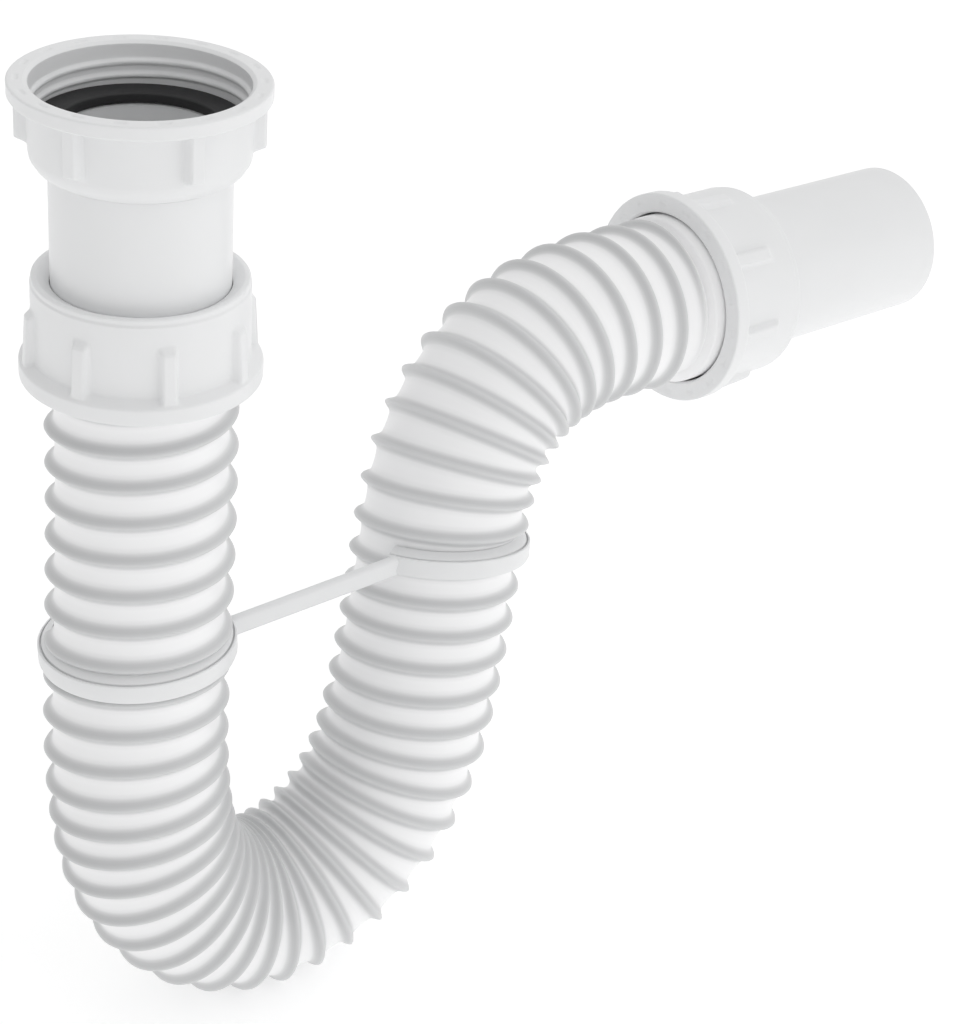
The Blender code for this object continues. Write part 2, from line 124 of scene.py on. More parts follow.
# Route of the hose: share of the length, turn from straight down towards +X, turn towards +Y, in degrees
ROUTE = (
    (0.000, 0, 0.0), (0.039, -2, -3.0), (0.130, -4, -4.0), (0.246, -3, -6.5), (0.316, 10, -6.5),
    (0.383, 46, -4.5), (0.453, 98, -2.5), (0.523, 134, 0.0), (0.601, 163, 3.0), (0.679, 167, 6.0),
    (0.756, 165, 7.0), (0.824, 139, 5.5), (0.891, 105, 3.0), (0.953, 88, 1.0), (1.000, 90, 0.0),
)
# Pitch of the corrugation: millimetres along the hose, pitch in millimetres
PITCHES = (
    (0, 9.3), (90, 9.1), (112, 6.7), (165, 6.3), (200, 8.0), (240, 8.6), (290, 8.5), (318, 6.9),
    (340, 6.6), (356, 8.8), (386, 9.3),
)
# Lead of the helix over the plain count of pitches: millimetres along the hose, degrees
LEADS = ((0, 130), (95, 130), (150, 60), (250, 48), (300, 48), (340, 60), (386, 60))

# Strap
BAND_R = 23.5 * MM
BAND_IN_R = 20.2 * MM
BAND_H = 4.9 * MM
STRUT_WALL = 2.2 * MM
STRUT_H = 5.2 * MM
RING_AT = 70.1 * MM
HOOK_AT = 282.3 * MM
RING_AXIS = Vector((-0.015, 0.06, 1.0)).normalized()
HOOK_AXIS = Vector((0.135, 0.167, 0.98)).normalized()
RING_STRUT = math.radians(-15.4)
HOOK_STRUT = math.radians(207.0)
HOOK_SWEEP = math.radians(265.0)
HOOK_TAIL = math.radians(6)

# Camera of the photograph
AZIMUTH = math.radians(-39.887)
ELEVATION = math.radians(29.636)
ROLL = math.radians(4.238)
CAMERA_AT = (-0.26180, -0.43573, 0.18665)
LENS = 93.56

# Light and floor
FLOOR_Z = -0.2436
FLOOR_GLOW = 0.28
LIGHT_FROM = Vector((0.68, -0.16, 0.72)).normalized()
LIGHT_LOW = 0.42
LIGHT_HIGH = 1.30
KEY_AT = (0.60, -0.80, 0.10)
KEY_AIM = (0.05, 0.0, -0.12)
KEY_SIZE = 0.6
KEY_POWER = 0.4


def smooth(value, low, high):
    """Goes from 0 at low to 1 at high without a corner."""
    share = np.clip((value - low) / (high - low), 0.0, 1.0)
    return share * share * (3.0 - 2.0 * share)


def through(rows, at):
    """Smooth curve through (place, value) rows, level at both ends."""
    places = np.array([row[0] for row in rows])
    values = np.array([row[1] for row in rows], float)
    slopes = np.gradient(values, places)
    slopes[0] = slopes[-1] = 0.0
    left = np.clip(np.searchsorted(places, at, side="right") - 1, 0, len(places) - 2)
    width = places[left + 1] - places[left]
    part = np.clip((at - places[left]) / width, 0.0, 1.0)
    rest = 1.0 - part
    return ((1 + 2 * part) * rest ** 2 * values[left] + part * rest ** 2 * width * slopes[left]
            + part ** 2 * (3 - 2 * part) * values[left + 1] - part ** 2 * rest * width * slopes[left + 1])


def straight(rows, at):
    """Straight lines through (millimetres along the hose, value) rows."""
    return np.interp(at / MM, [row[0] for row in rows], [row[1] for row in rows])


class Route:
    """Middle line of the hose, with the turns of its corrugation counted along it."""

    STEPS = 1544

    def __init__(self):
        share = np.linspace(0.0, 1.0, self.STEPS + 1)
        turn = np.radians(through([(row[0], row[1]) for row in ROUTE], share))
        side = np.radians(through([(row[0], row[2]) for row in ROUTE], share))
        level = np.cos(side)
        self.tangents = np.stack([np.sin(turn) * level, np.sin(side), -np.cos(turn) * level], 1)
        step = HOSE_LENGTH / self.STEPS
        moves = (self.tangents[1:] + self.tangents[:-1]) / 2 * step
        self.points = np.concatenate([np.zeros((1, 3)), np.cumsum(moves, 0)]) + (0, 0, NUT_IN_Z)
        self.bends = np.gradient(self.tangents, step, axis=0)
        self.places = share * HOSE_LENGTH
        rate = 1.0 / (straight(PITCHES, self.places) * MM)
        turns = np.concatenate([[0.0], np.cumsum((rate[1:] + rate[:-1]) / 2 * step)])
        self.turns = FIRST_TURN + turns + straight(LEADS, self.places) / 360.0

    def along(self, values, places):
        return np.stack([np.interp(places, self.places, values[:, k]) for k in range(3)], -1)

    def frame(self, places):
        """Points, tangents and the two directions across the hose; straight past both ends."""
        places = np.atleast_1d(np.asarray(places, float))
        inside = np.clip(places, 0.0, HOSE_LENGTH)
        tangents = self.along(self.tangents, inside)
        tangents /= np.linalg.norm(tangents, axis=1)[:, None]
        points = self.along(self.points, inside) + tangents * (places - inside)[:, None]
        fronts = np.array((0.0, -1.0, 0.0)) + tangents[:, 1:2] * tangents
        fronts /= np.linalg.norm(fronts, axis=1)[:, None]
        return points, tangents, fronts, np.cross(tangents, fronts)

    def skin(self, places, radii, angle):
        """Points of the hose at these places and radii, all at one angle round it."""
        points, _, fronts, sides = self.frame(places)
        out = fronts * math.cos(angle) + sides * math.sin(angle)
        return points + out * np.asarray(radii)[:, None]

    def stretch(self, places, angle):
        """Length of the surface per length of the middle line, at one angle round the hose."""
        _, _, fronts, sides = self.frame(places)
        out = fronts * math.cos(angle) + sides * math.sin(angle)
        bend = self.along(self.bends, np.clip(places, 0.0, HOSE_LENGTH))
        return 1.0 - VALLEY_R * (out * bend).sum(1)


def add_mesh(name, vertices, faces, surface, sharp=None):
    mesh = bpy.data.meshes.new(name)
    mesh.from_pydata([tuple(v) for v in vertices], [], faces)
    mesh.validate()
    mesh.materials.append(surface)
    mesh.shade_smooth()
    if sharp:
        mesh.set_sharp_from_angle(angle=math.radians(sharp))
    made = bpy.data.objects.new(name, mesh)
    bpy.context.scene.collection.objects.link(made)
    return made


def stands_for(made, body, node):
    """Ties a fine piece to the CAD body it moves with and the CAD node it shows."""
    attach(made, body)
    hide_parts(node)


# Turned pieces

def rounded(corners, step=1.0 * MM, arc_steps=4):
    """Closed section from (radius, height, fillet, tag) corners: (radius, height, tag) rows.

    A row's tag is that of the corner where its straight side starts.
    """
    rows = []
    count = len(corners)
    ends = []
    for i in range(count):
        before = np.array(corners[i - 1][:2])
        here = np.array(corners[i][:2])
        after = np.array(corners[(i + 1) % count][:2])
        fillet = corners[i][2]
        to_before = (before - here) / np.linalg.norm(before - here)
        to_after = (after - here) / np.linalg.norm(after - here)
        turn = math.pi - math.acos(float(np.clip(np.dot(to_before, to_after), -1, 1)))
        if fillet <= 0 or turn < 0.02:
            ends.append([here])
            continue
        reach = fillet * math.tan(turn / 2)
        bisector = to_before + to_after
        bisector /= np.linalg.norm(bisector)
        centre = here + bisector * (fillet / math.cos(turn / 2))
        first = here + to_before * reach - centre
        last = here + to_after * reach - centre
        arc = []
        for k in range(arc_steps + 1):
            mixed = first * (1 - k / arc_steps) + last * (k / arc_steps)
            arc.append(centre + mixed / np.linalg.norm(mixed) * fillet)
        ends.append(arc)
    for i in range(count):
        tag = corners[i][3]
        rows += [(p[0], p[1], corners[i - 1][3] if k < len(ends[i]) // 2 else tag)
                 for k, p in enumerate(ends[i])]
        start = ends[i][-1]
        stop = ends[(i + 1) % count][0]
        pieces = int(np.linalg.norm(stop - start) / step) if step else 0
        for k in range(1, pieces):
            p = start + (stop - start) * k / pieces
            rows.append((p[0], p[1], tag))
    return rows


def turned(name, rows, angles, surface, shape=None):
    """Section rows turned round Z. shape(radius, height, tag, angles) gives the moved radii and heights."""
    angles = np.asarray(angles)
    rings = []
    for radius, height, tag in rows:
        radii = np.full(len(angles), radius)
        heights = np.full(len(angles), height)
        if shape:
            radii, heights = shape(radii, heights, tag, angles)
        rings.append(np.stack([radii * np.cos(angles), radii * np.sin(angles), heights], 1))
    vertices = np.concatenate(rings)
    count = len(angles)
    faces = []
    for i in range(len(rings)):
        here = i * count
        following = (i + 1) % len(rings) * count
        for k in range(count):
            m = (k + 1) % count
            faces.append((here + k, following + k, following + m, here + m))
    return add_mesh(name, vertices, faces, surface)


def even(count):
    return np.arange(count) * 2 * math.pi / count


def rib_share(angles, ribs, first, half):
    """1 on a rib's top, falling to 0 over its rounded flanks; half is half its width as an angle."""
    sector = 2 * math.pi / ribs
    off = np.abs((angles - first + sector / 2) % sector - sector / 2)
    return 1.0 - smooth(off, 0.62 * half, 1.18 * half)


def union_shape(radii, heights, tag, angles):
    if tag == "skirt":
        share = rib_share(angles, UNION_RIBS, UNION_FIRST_RIB, RIB_HALF / UNION_SKIRT_R)
        depth = -heights
        share = share * (1.0 - smooth(depth, UNION_RIB_FOOT - 1.6 * MM, UNION_RIB_FOOT))
        radii = radii + np.maximum(UNION_RIB_R - radii, 0.0) * share
    if tag == "thread":
        depth = -heights
        phase = (depth / THREAD_PITCH - angles / (2 * math.pi) + THREAD_PHASE) % 1.0
        ridge = np.clip(1.5 * np.cos(2 * math.pi * (phase - 0.5)) + 0.1, 0.0, 1.0)
        fade = smooth(depth, THREAD_START, THREAD_START + 1.0 * MM)
        fade = fade * (1.0 - smooth(depth, THREAD_END - 0.8 * MM, THREAD_END))
        radii = radii - THREAD_DEPTH * ridge * fade
    if tag == "top":
        place = (angles * DASHES / (2 * math.pi)) % 1.0
        dash = smooth(place, 0.26, 0.36) * (1.0 - smooth(place, 0.58, 0.68))
        across = smooth(radii, 25.7 * MM, 26.0 * MM) * (1.0 - smooth(radii, 26.5 * MM, 26.8 * MM))
        heights = heights - 0.25 * MM * dash * across
    return radii, heights


def inlet_nut(surface):
    corners = [
        (RIM_R, 0.0, 0.45 * MM, "rim"),
        (RIM_R, -RIM_H, 0.4 * MM, "under"),
        (UNION_SKIRT_R, -RIM_H, 0.25 * MM, "skirt"),
        (UNION_SKIRT_R - 0.4 * MM, -UNION_H, 4.6 * MM, "foot"),
        (HOLE_R, -UNION_H, 0.4 * MM, "hole"),
        (HOLE_R, UNION_FLOOR_Z, 0.2 * MM, "floor"),
        (UNION_BORE_R, UNION_FLOOR_Z, 0.3 * MM, "thread"),
        (UNION_BORE_R, -0.6 * MM, 0.2 * MM, "mouth"),
        (UNION_BORE_R + 0.9 * MM, 0.0, 0.3 * MM, "top"),
    ]
    rows = rounded(corners, 0.3 * MM)
    return turned("union_nut_fine", rows, even(540), surface, union_shape)


def inlet_washer(surface):
    top = WASHER_LOW_Z + WASHER_H
    corners = [
        (WASHER_R, top, 0.3 * MM, ""), (WASHER_R, WASHER_LOW_Z, 0.3 * MM, ""),
        (WASHER_BORE_R, WASHER_LOW_Z, 0.3 * MM, ""), (WASHER_BORE_R, top, 0.5 * MM, ""),
    ]
    return turned("washer_fine", rounded(corners), even(160), surface)


def inlet_tube(surface):
    top = COLLAR_Z + COLLAR_H
    corners = [
        (COLLAR_R, top, 0.3 * MM, ""), (COLLAR_R, COLLAR_Z, 0.3 * MM, ""),
        (TUBE_R, COLLAR_Z, 0.3 * MM, ""), (TUBE_R, TUBE_FOOT_Z, 0.8 * MM, ""),
        (TUBE_BORE_R, TUBE_FOOT_Z, 0.3 * MM, ""), (TUBE_BORE_R, top, 0.6 * MM, ""),
    ]
    return turned("inlet_tube_fine", rounded(corners, 3 * MM), even(160), surface)


def outlet_spigot(surface):
    corners = [
        (SPIGOT_END_R, SPIGOT_TOP, 1.0 * MM, ""), (TUBE_R, NUT_OUT_H, 0.0, ""),
        (TUBE_R, SPIGOT_FOOT, 0.8 * MM, ""), (TUBE_BORE_R, SPIGOT_FOOT, 0.3 * MM, ""),
        (TUBE_BORE_R - 0.2 * MM, SPIGOT_TOP, 0.5 * MM, ""),
    ]
    return turned("outlet_spigot_fine", rounded(corners, 3 * MM, 6), even(160), surface)


def compression_nut(name, height, body_r, flange_r, first_rib, surface):
    """Nut with its flange face at height 0; its ribs end round at the top and run out at the flange."""
    lip_r = body_r - 0.2 * MM
    corners = [
        (HOLE_R, height - NUT_DISH, 0.2 * MM, "top"),
        (lip_r - 1.3 * MM, height, 1.0 * MM, "top"),
        (lip_r, height, 0.5 * MM, "lip"),
        (lip_r, height - NUT_LIP_H, 0.0, "lip"),
        (body_r, height - NUT_LIP_H - 0.2 * MM, 0.0, "body"),
        (body_r + 0.1 * MM, FLANGE_FOOT_H, 0.7 * MM, "slope"),
        (flange_r, FLANGE_EDGE_H, 0.7 * MM, "flange"),
        (flange_r, 0.0, 0.5 * MM, "face"),
        (NUT_BORE_R + 0.5 * MM, 0.0, 0.3 * MM, "bore"),
        (NUT_BORE_R, 0.6 * MM, 0.3 * MM, "bore"),
        (NUT_BORE_R, height - NUT_ROOF, 0.4 * MM, "roof"),
        (HOLE_R, height - NUT_ROOF, 0.3 * MM, "hole"),
    ]

    def shape(radii, heights, tag, angles):
        if tag in ("body", "slope"):
            share = rib_share(angles, NUT_RIBS, first_rib, RIB_HALF / body_r)
            share = share * (1.0 - smooth(heights, NUT_RIB_TOP - 1.8 * MM, NUT_RIB_TOP))
            top = flange_r - 0.6 * MM - 0.06 * np.clip(heights - 4.0 * MM, 0.0, None)
            radii = radii + np.maximum(top - radii, 0.0) * share
        if tag == "face":
            place = (angles * DASHES / (2 * math.pi)) % 1.0
            dash = smooth(place, 0.26, 0.36) * (1.0 - smooth(place, 0.54, 0.64))
            across = smooth(radii, 24.8 * MM, 25.2 * MM) * (1.0 - smooth(radii, 25.7 * MM, 26.1 * MM))
            heights = heights + 0.3 * MM * dash * across
        return radii, heights

    return turned(name, rounded(corners, 0.45 * MM), even(400), surface, shape)


def cone_seal(name, height, surface):
    """Seal on the hose's mouth, with a short cone up to the roof of the nut."""
    low = height - CUFF_DROP + 0.3 * MM
    top = height - NUT_ROOF - 0.2 * MM
    shoulder = top - 1.4 * MM
    corners = [
        (HOLE_R + 0.6 * MM, top, 0.2 * MM, ""), (SEAL_R, shoulder, 0.3 * MM, ""),
        (SEAL_R, low, 0.3 * MM, ""), (HOLE_R, low, 0.2 * MM, ""), (HOLE_R, top, 0.0, ""),
    ]
    return turned(name, rounded(corners), even(96), surface)


def stand_on(made, point, axis):
    """Moves a turned piece so that its own Z axis starts at a point and runs along an axis."""
    turn = Vector((0, 0, 1)).rotation_difference(Vector(axis)).to_matrix().to_4x4()
    made.data.transform(Matrix.Translation(Vector(point)) @ turn)


# Corrugated hose

def rise(away, room):
    """Height over the trough's floor at a distance from a ridge's top, with the room from ridge to ridge."""
    share = np.clip(np.abs(away) / (room / 2), 0.0, 1.0)
    ridge = np.exp(-(np.abs(away) / RIDGE_HALF) ** 2.4)
    return TROUGH_LIFT * (1.0 - share) ** 2 + (CREST_R - VALLEY_R - TROUGH_LIFT) * ridge


def ridge_shade_at(away, room):
    """Painted shade by distance from a ridge's top: most on its flanks, less on its crest, none in troughs.
    """
    foot = np.exp(-(np.abs(away) / np.minimum(RIDGE_FOOT, 0.4 * room)) ** 4)
    return foot * (1.0 - 0.3 * np.exp(-(away / (0.35 * RIDGE_FOOT)) ** 2))


def ridge_rows(route, column, flank, trough_steps, depth, base_r, low, high):
    """One column of the corrugation: turns on the helix, places along the hose, radii and painted ridge
    shade.
    """
    angle = 2 * math.pi * column / HOSE_COLUMNS
    share = column / HOSE_COLUMNS
    ridges = np.arange(math.floor(route.turns[0] - share) - 1, math.ceil(route.turns[-1] - share) + 2)
    turns_past = np.concatenate([route.turns[:1] - 2, route.turns, route.turns[-1:] + 2])
    places_past = np.concatenate([route.places[:1] - 2 * PITCHES[0][1] * MM, route.places,
                                  route.places[-1:] + 2 * PITCHES[-1][1] * MM])
    middles = np.interp(ridges + share, turns_past, places_past)
    stretch = route.stretch(middles, angle)
    room = np.gradient(middles) * stretch
    steps = np.array([-step for step in reversed(flank[1:])] + list(flank))
    reach = np.minimum(steps[-1], 0.46 * room)
    rows = []
    for k, ridge in enumerate(ridges):
        away = steps / steps[-1] * reach[k]
        rows.append(np.stack([ridge + 0.25 * steps / steps[-1], middles[k] + away / stretch[k],
                              rise(away, room[k]), ridge_shade_at(away, room[k])], 1))
        if k + 1 < len(ridges):
            start = middles[k] + reach[k] / stretch[k]
            stop = middles[k + 1] - reach[k + 1] / stretch[k + 1]
            mix = np.arange(1, trough_steps + 1) / (trough_steps + 1)
            at = start + (stop - start) * mix
            gap = middles[k + 1] - middles[k]
            away = np.minimum(at - middles[k], middles[k + 1] - at) / gap * room[k]
            rows.append(np.stack([ridge + 0.25 + 0.5 * mix, at, rise(away, room[k]),
                                  ridge_shade_at(away, room[k])], 1))
    rows = np.concatenate(rows)
    fade = smooth(rows[:, 1], 1.0 * MM, 4.0 * MM) * smooth(HOSE_LENGTH - rows[:, 1], 3.2 * MM, 6.0 * MM)
    keep = (rows[:, 1] > low + 0.3 * MM) & (rows[:, 1] < high - 0.3 * MM)
    radii = base_r + rows[:, 2] * depth * fade
    return rows[keep, 0], rows[keep, 1], radii[keep], (rows[:, 3] * fade)[keep], angle


def zip_columns(left, right):
    """Triangles between two columns of (turn, vertex), both sorted along the hose."""
    triangles = []
    i = j = 0
    while i < len(left) - 1 or j < len(right) - 1:
        if j == len(right) - 1 or (i < len(left) - 1 and left[i + 1][0] <= right[j + 1][0]):
            triangles.append((left[i][1], right[j][1], left[i + 1][1]))
            i += 1
        else:
            triangles.append((left[i][1], right[j][1], right[j + 1][1]))
            j += 1
    return triangles


def hose_skin(route, corrugation, starts, stops, vertices, ridge_shade):
    """One skin of the hose: rings at its start, the helical rows and rings at its stop."""
    faces = []
    columns = []
    for column in range(HOSE_COLUMNS):
        turns, places, radii, ridge_shades, angle = ridge_rows(route, column, *corrugation, starts[-1][0],
                                                         stops[0][0])
        # Painted shade on the ridges' flanks, one value per point; none on the mouths' plain rings
        ridge_shade.extend([0.0] * len(starts) + list(ridge_shades) + [0.0] * len(stops))
        all_places = [p for p, _ in starts] + list(places) + [p for p, _ in stops]
        all_radii = [r for _, r in starts] + list(radii) + [r for _, r in stops]
        keys = [-MOUTH_TURN + k for k in range(len(starts))] + list(turns)
        keys += [MOUTH_TURN + k for k in range(len(stops))]
        base = len(vertices)
        vertices.extend(route.skin(np.array(all_places), np.array(all_radii), angle))
        columns.append([(key, base + k) for k, key in enumerate(keys)])
    for column in range(HOSE_COLUMNS):
        if column + 1 < HOSE_COLUMNS:
            following = columns[column + 1]
        else:
            following = [(key if abs(key) > MOUTH_TURN / 2 else key - 1, vertex)
                         for key, vertex in columns[0]]
        faces.extend(zip_columns(columns[column], following))
    first = [column[0][1] for column in columns]
    last = [column[-1][1] for column in columns]
    return faces, first, last


def flexible_hose(route, surface):
    end = HOSE_LENGTH
    mouth_in = -(NUT_IN_H - CUFF_DROP)
    mouth_out = end + NUT_OUT_H - CUFF_DROP
    starts = [(mouth_in, CUFF_R - 0.5 * MM), (mouth_in + 0.5 * MM, CUFF_R), (-1.7 * MM, CUFF_R),
              (-1.2 * MM, CUFF_R - 0.5 * MM), (-1.2 * MM, VALLEY_R), (0.8 * MM, VALLEY_R)]
    stops = [(end - 3.0 * MM, VALLEY_R), (end - 2.5 * MM, CUFF_R - 0.7 * MM),
             (end - 2.2 * MM, CUFF_R - 0.2 * MM), (end - 1.8 * MM, CUFF_R),
             (mouth_out - 0.5 * MM, CUFF_R), (mouth_out, CUFF_R - 0.5 * MM)]
    inside = VALLEY_R - HOSE_WALL
    inner_starts = [(mouth_in, CUFF_BORE_R), (-2.5 * MM, CUFF_BORE_R), (-2.5 * MM, inside),
                    (0.8 * MM, inside)]
    inner_stops = [(end - 0.8 * MM, inside), (end + 2.5 * MM, inside), (end + 2.5 * MM, CUFF_BORE_R),
                   (mouth_out, CUFF_BORE_R)]
    vertices = []
    ridge_shade = []
    outer_wall = (OUTER_FLANK, TROUGH_STEPS, 1.0, VALLEY_R)
    inner_wall = (INNER_FLANK, 0, INNER_DEPTH, inside)
    outer, first_out, last_out = hose_skin(route, outer_wall, starts, stops, vertices, ridge_shade)
    inner, first_in, last_in = hose_skin(route, inner_wall, inner_starts, inner_stops, vertices, ridge_shade)
    faces = outer + [tuple(reversed(face)) for face in inner]
    for k in range(HOSE_COLUMNS):
        m = (k + 1) % HOSE_COLUMNS
        faces.append((first_in[k], first_in[m], first_out[m], first_out[k]))
        faces.append((last_out[k], last_out[m], last_in[m], last_in[k]))
    made = add_mesh("hose_fine", vertices, faces, surface)
    # Per-point painted shade for the ridges' flanks, which the hose's material mixes in
    made.data.attributes.new("ridge_shade", "FLOAT", "POINT").data.foreach_set("value", ridge_shade)
    return made


# Strap

def across(axis):
    """Two directions square to an axis, the first as near to +X as it goes."""
    along = (Vector((1, 0, 0)) - axis * axis.x).normalized()
    return along, axis.cross(along)


def swept(frames, outline, closed, vertices, faces):
    """Adds a solid swept through frames of (centre, out, up) with an outline of (out, up) points."""
    base = len(vertices)
    for centre, out, up in frames:
        for reach, height in outline:
            vertices.append(centre + out * reach + up * height)
    rows = len(outline)
    total = len(frames)
    for k in range(total if closed else total - 1):
        here = base + k * rows
        following = base + (k + 1) % total * rows
        for i in range(rows):
            j = (i + 1) % rows
            faces.append((here + i, here + j, following + j, following + i))
    if not closed:
        faces.append(tuple(range(base + rows - 1, base - 1, -1)))
        faces.append(tuple(range(base + (total - 1) * rows, base + total * rows)))


def box_outline(half_out, half_up, fillets):
    """Outline with rounded corners, from the upper outer one down and round."""
    signs = ((1, 1), (1, -1), (-1, -1), (-1, 1))
    outline = []
    for (side, up), fillet in zip(signs, fillets):
        start = {(1, 1): 90, (1, -1): 0, (-1, -1): -90, (-1, 1): -180}[(side, up)]
        for k in range(5):
            angle = math.radians(start - 90 * k / 4)
            outline.append((side * (half_out - fillet) + fillet * math.cos(angle),
                            up * (half_up - fillet) + fillet * math.sin(angle)))
    return outline


def u_bend_strap(route, surface):
    ring_centre = Vector(route.frame(RING_AT)[0][0])
    hook_centre = Vector(route.frame(HOOK_AT)[0][0])
    top = BAND_H / 2
    section = [
        (BAND_R - 0.5 * MM, top), (BAND_R - 0.15 * MM, top - 0.05 * MM), (BAND_R, top - 0.25 * MM),
        (BAND_R, 1.2 * MM - top), (BAND_R - 0.35 * MM, 0.35 * MM - top), (BAND_R - 1.2 * MM, -top),
        (BAND_IN_R, -top), (BAND_IN_R, top + 1.6 * MM), (BAND_R - 1.0 * MM, top + 0.2 * MM),
        (BAND_R - 0.9 * MM, top - 0.8 * MM), (BAND_R - 0.6 * MM, top - 0.8 * MM),
    ]
    vertices = []
    faces = []
    for centre, axis, start, sweep in (
            (ring_centre, RING_AXIS, 0.0, 2 * math.pi),
            (hook_centre, HOOK_AXIS, HOOK_STRUT - HOOK_TAIL, HOOK_SWEEP)):
        along, side = across(axis)
        closed = sweep >= 2 * math.pi
        count = 160 if closed else 120
        frames = []
        for k in range(count if closed else count + 1):
            angle = start + sweep * k / count
            frames.append((centre, along * math.cos(angle) + side * math.sin(angle), axis))
        swept(frames, section, closed, vertices, faces)
    middle = BAND_R - STRUT_WALL / 2
    ends = []
    for centre, axis, angle in ((ring_centre, RING_AXIS, RING_STRUT), (hook_centre, HOOK_AXIS, HOOK_STRUT)):
        along, side = across(axis)
        ends.append(centre + (along * math.cos(angle) + side * math.sin(angle)) * middle)
    direction = (ends[1] - ends[0]).normalized()
    level = Vector((0, 0, 1)).cross(direction).normalized()
    up = direction.cross(level)
    bar = box_outline(STRUT_WALL / 2, STRUT_H / 2, (1.0 * MM, 1.0 * MM, 0.5 * MM, 0.5 * MM))
    swept([(ends[0], -level, up), (ends[1], -level, up)], bar, False, vertices, faces)
    return add_mesh("strap_fine", vertices, faces, surface, 35.0)


# Materials

def plastic(name, colour, roughness, grain, sheen=0.5, ridge=None):
    """Satin moulded plastic: faint cloudiness, uneven gloss and a fine moulded grain.

    With a ridge colour, painted shade from a per-point attribute darkens a corrugated wall's ridge flanks.
    """
    made = bpy.data.materials.new(name)
    made.use_nodes = True
    nodes = made.node_tree.nodes
    links = made.node_tree.links
    shader = nodes["Principled BSDF"]
    shader.inputs["Specular IOR Level"].default_value = sheen
    place = nodes.new("ShaderNodeTexCoord")
    cloud = nodes.new("ShaderNodeTexNoise")
    cloud.inputs["Scale"].default_value = 60.0
    cloud.inputs["Detail"].default_value = 4.0
    links.new(place.outputs["Object"], cloud.inputs["Vector"])
    tint = nodes.new("ShaderNodeMix")
    tint.data_type = "RGBA"
    tint.inputs["A"].default_value = (*[c * 0.975 for c in colour], 1.0)
    tint.inputs["B"].default_value = (*[min(1.0, c * 1.015) for c in colour], 1.0)
    links.new(cloud.outputs["Fac"], tint.inputs["Factor"])
    links.new(tint.outputs["Result"], shader.inputs["Base Color"])
    if ridge:
        # Painted shade: the darker ridge colour is mixed in where the per-point shade attribute is high
        ridge_shade = nodes.new("ShaderNodeAttribute")
        ridge_shade.attribute_name = "ridge_shade"
        ridge_shading = nodes.new("ShaderNodeMix")
        ridge_shading.data_type = "RGBA"
        ridge_shading.inputs["B"].default_value = (*ridge, 1.0)
        links.new(ridge_shade.outputs["Fac"], ridge_shading.inputs["Factor"])
        links.new(tint.outputs["Result"], ridge_shading.inputs["A"])
        links.new(ridge_shading.outputs["Result"], shader.inputs["Base Color"])
    gloss = nodes.new("ShaderNodeMapRange")
    gloss.inputs["To Min"].default_value = roughness - 0.05
    gloss.inputs["To Max"].default_value = roughness + 0.06
    links.new(cloud.outputs["Fac"], gloss.inputs["Value"])
    links.new(gloss.outputs["Result"], shader.inputs["Roughness"])
    fine = nodes.new("ShaderNodeTexNoise")
    fine.inputs["Scale"].default_value = 1400.0
    links.new(place.outputs["Object"], fine.inputs["Vector"])
    bump = nodes.new("ShaderNodeBump")
    bump.inputs["Strength"].default_value = grain
    bump.inputs["Distance"].default_value = 0.00005
    links.new(fine.outputs["Fac"], bump.inputs["Height"])
    links.new(bump.outputs["Normal"], shader.inputs["Normal"])
    return made


# Light, floor and camera

def world_light():
    """Even studio light, brighter from above and from the right; white behind the object."""
    world = bpy.data.worlds.new("studio")
    bpy.context.scene.world = world
    world.use_nodes = True
    nodes = world.node_tree.nodes
    links = world.node_tree.links
    nodes.clear()
    out = nodes.new("ShaderNodeOutputWorld")
    white = nodes.new("ShaderNodeBackground")
    white.inputs["Color"].default_value = (1, 1, 1, 1)
    white.inputs["Strength"].default_value = 1.0
    lit = nodes.new("ShaderNodeBackground")
    place = nodes.new("ShaderNodeTexCoord")
    lean = nodes.new("ShaderNodeVectorMath")
    lean.operation = "DOT_PRODUCT"
    lean.inputs[1].default_value = LIGHT_FROM
    links.new(place.outputs["Generated"], lean.inputs[0])
    ramp = nodes.new("ShaderNodeMapRange")
    ramp.inputs["From Min"].default_value = -1.0
    ramp.inputs["From Max"].default_value = 1.0
    ramp.inputs["To Min"].default_value = LIGHT_LOW
    ramp.inputs["To Max"].default_value = LIGHT_HIGH
    links.new(lean.outputs["Value"], ramp.inputs["Value"])
    links.new(ramp.outputs["Result"], lit.inputs["Strength"])
    path = nodes.new("ShaderNodeLightPath")
    seen = nodes.new("ShaderNodeMixShader")
    links.new(path.outputs["Is Camera Ray"], seen.inputs["Fac"])
    links.new(lit.outputs["Background"], seen.inputs[1])
    links.new(white.outputs["Background"], seen.inputs[2])
    links.new(seen.outputs["Shader"], out.inputs["Surface"])


def area_light(name, at, aim, size, power):
    data = bpy.data.lights.new(name, "AREA")
    data.shape = "DISK"
    data.size = size
    data.energy = power
    made = bpy.data.objects.new(name, data)
    made.location = at
    made.rotation_euler = (Vector(aim) - Vector(at)).to_track_quat("-Z", "Y").to_euler()
    bpy.context.scene.collection.objects.link(made)


def floor():
    """White floor that is lit from within, so that light comes up from it and shadows on it stay soft."""
    surface = bpy.data.materials.new("floor_white")
    surface.use_nodes = True
    shader = surface.node_tree.nodes["Principled BSDF"]
    shader.inputs["Base Color"].default_value = (0.92, 0.92, 0.92, 1.0)
    shader.inputs["Roughness"].default_value = 0.9
    shader.inputs["Specular IOR Level"].default_value = 0.1
    shader.inputs["Emission Color"].default_value = (1.0, 1.0, 1.0, 1.0)
    shader.inputs["Emission Strength"].default_value = FLOOR_GLOW
    reach = 6.0
    corners = [(-reach, -reach, 0), (reach, -reach, 0), (reach, reach, 0), (-reach, reach, 0)]
    made = add_mesh("floor", corners, [(0, 1, 2, 3)], surface)
    made.location = (0, 0, FLOOR_Z)


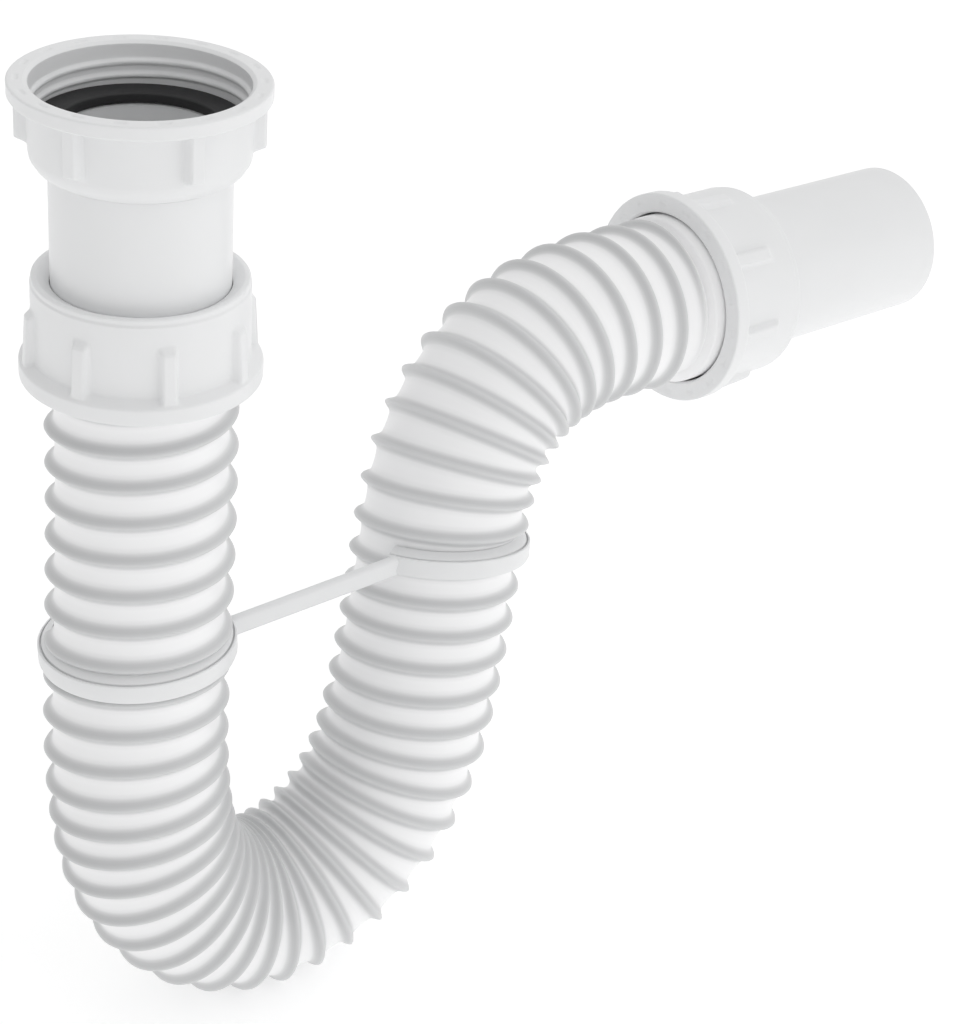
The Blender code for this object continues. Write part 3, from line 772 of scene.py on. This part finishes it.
def camera():
    data = bpy.data.cameras.new("camera")
    data.lens = LENS
    data.sensor_width = 36.0
    data.sensor_fit = "HORIZONTAL"
    data.clip_start = 0.01
    data.clip_end = 50.0
    made = bpy.data.objects.new("camera", data)
    back = Vector((math.sin(AZIMUTH) * math.cos(ELEVATION), -math.cos(AZIMUTH) * math.cos(ELEVATION),
                   math.sin(ELEVATION)))
    right = Vector((math.cos(AZIMUTH), math.sin(AZIMUTH), 0.0))
    up = back.cross(right)
    leaning_right = right * math.cos(ROLL) + up * math.sin(ROLL)
    leaning_up = up * math.cos(ROLL) - right * math.sin(ROLL)
    turn = Matrix((leaning_right, leaning_up, back)).transposed().to_4x4()
    made.matrix_world = Matrix.Translation(Vector(CAMERA_AT)) @ turn
    bpy.context.scene.collection.objects.link(made)
    bpy.context.scene.camera = made


def main():
    route = Route()
    nut_white = plastic("nut_white", (0.83, 0.835, 0.84), 0.40, 0.25)
    tube_white = plastic("tube_white", (0.825, 0.83, 0.835), 0.34, 0.15)
    # The darker ridge colour is painted shade on the ridges' flanks; the troughs keep the lighter colour
    hose_white = plastic("hose_white", (0.96, 0.96, 0.965), 0.36, 0.2, ridge=(0.57, 0.575, 0.58))
    strap_white = plastic("strap_white", (0.81, 0.815, 0.82), 0.38, 0.25)
    washer_black = plastic("washer_black", (0.022, 0.022, 0.023), 0.55, 0.6, 0.35)
    seal_grey = plastic("seal_grey", (0.10, 0.10, 0.105), 0.6, 0.5, 0.35)

    stands_for(inlet_nut(nut_white), "union_nut", "inlet_nut")
    stands_for(inlet_washer(washer_black), "trap", "inlet_washer")
    stands_for(inlet_tube(tube_white), "trap", "inlet_tube")
    stands_for(flexible_hose(route, hose_white), "trap", "flexible_hose")
    stands_for(u_bend_strap(route, strap_white), "trap", "u_bend_strap")

    end, heading, _, _ = (row[0] for row in route.frame(HOSE_LENGTH))
    inlet_at = (0.0, 0.0, NUT_IN_Z)
    up = (0.0, 0.0, 1.0)
    upper = compression_nut("upper_nut_fine", NUT_IN_H, NUT_IN_R, FLANGE_IN_R, FIRST_RIB_IN, nut_white)
    stand_on(upper, inlet_at, up)
    stands_for(upper, "upper_nut", "inlet_compression_nut")
    upper_seal = cone_seal("upper_seal_fine", NUT_IN_H, seal_grey)
    stand_on(upper_seal, inlet_at, up)
    stands_for(upper_seal, "trap", "inlet_seal")
    outer = compression_nut("outer_nut_fine", NUT_OUT_H, NUT_OUT_R, FLANGE_OUT_R, FIRST_RIB_OUT, nut_white)
    stand_on(outer, end, heading)
    stands_for(outer, "outer_nut", "outlet_compression_nut")
    outer_seal = cone_seal("outer_seal_fine", NUT_OUT_H, seal_grey)
    stand_on(outer_seal, end, heading)
    stands_for(outer_seal, "trap", "outlet_seal")
    spigot = outlet_spigot(tube_white)
    stand_on(spigot, end, heading)
    stands_for(spigot, "trap", "outlet_spigot")

    world_light()
    area_light("key", KEY_AT, KEY_AIM, KEY_SIZE, KEY_POWER)
    floor()
    camera()
    bpy.context.scene.view_settings.view_transform = "Standard"


main()
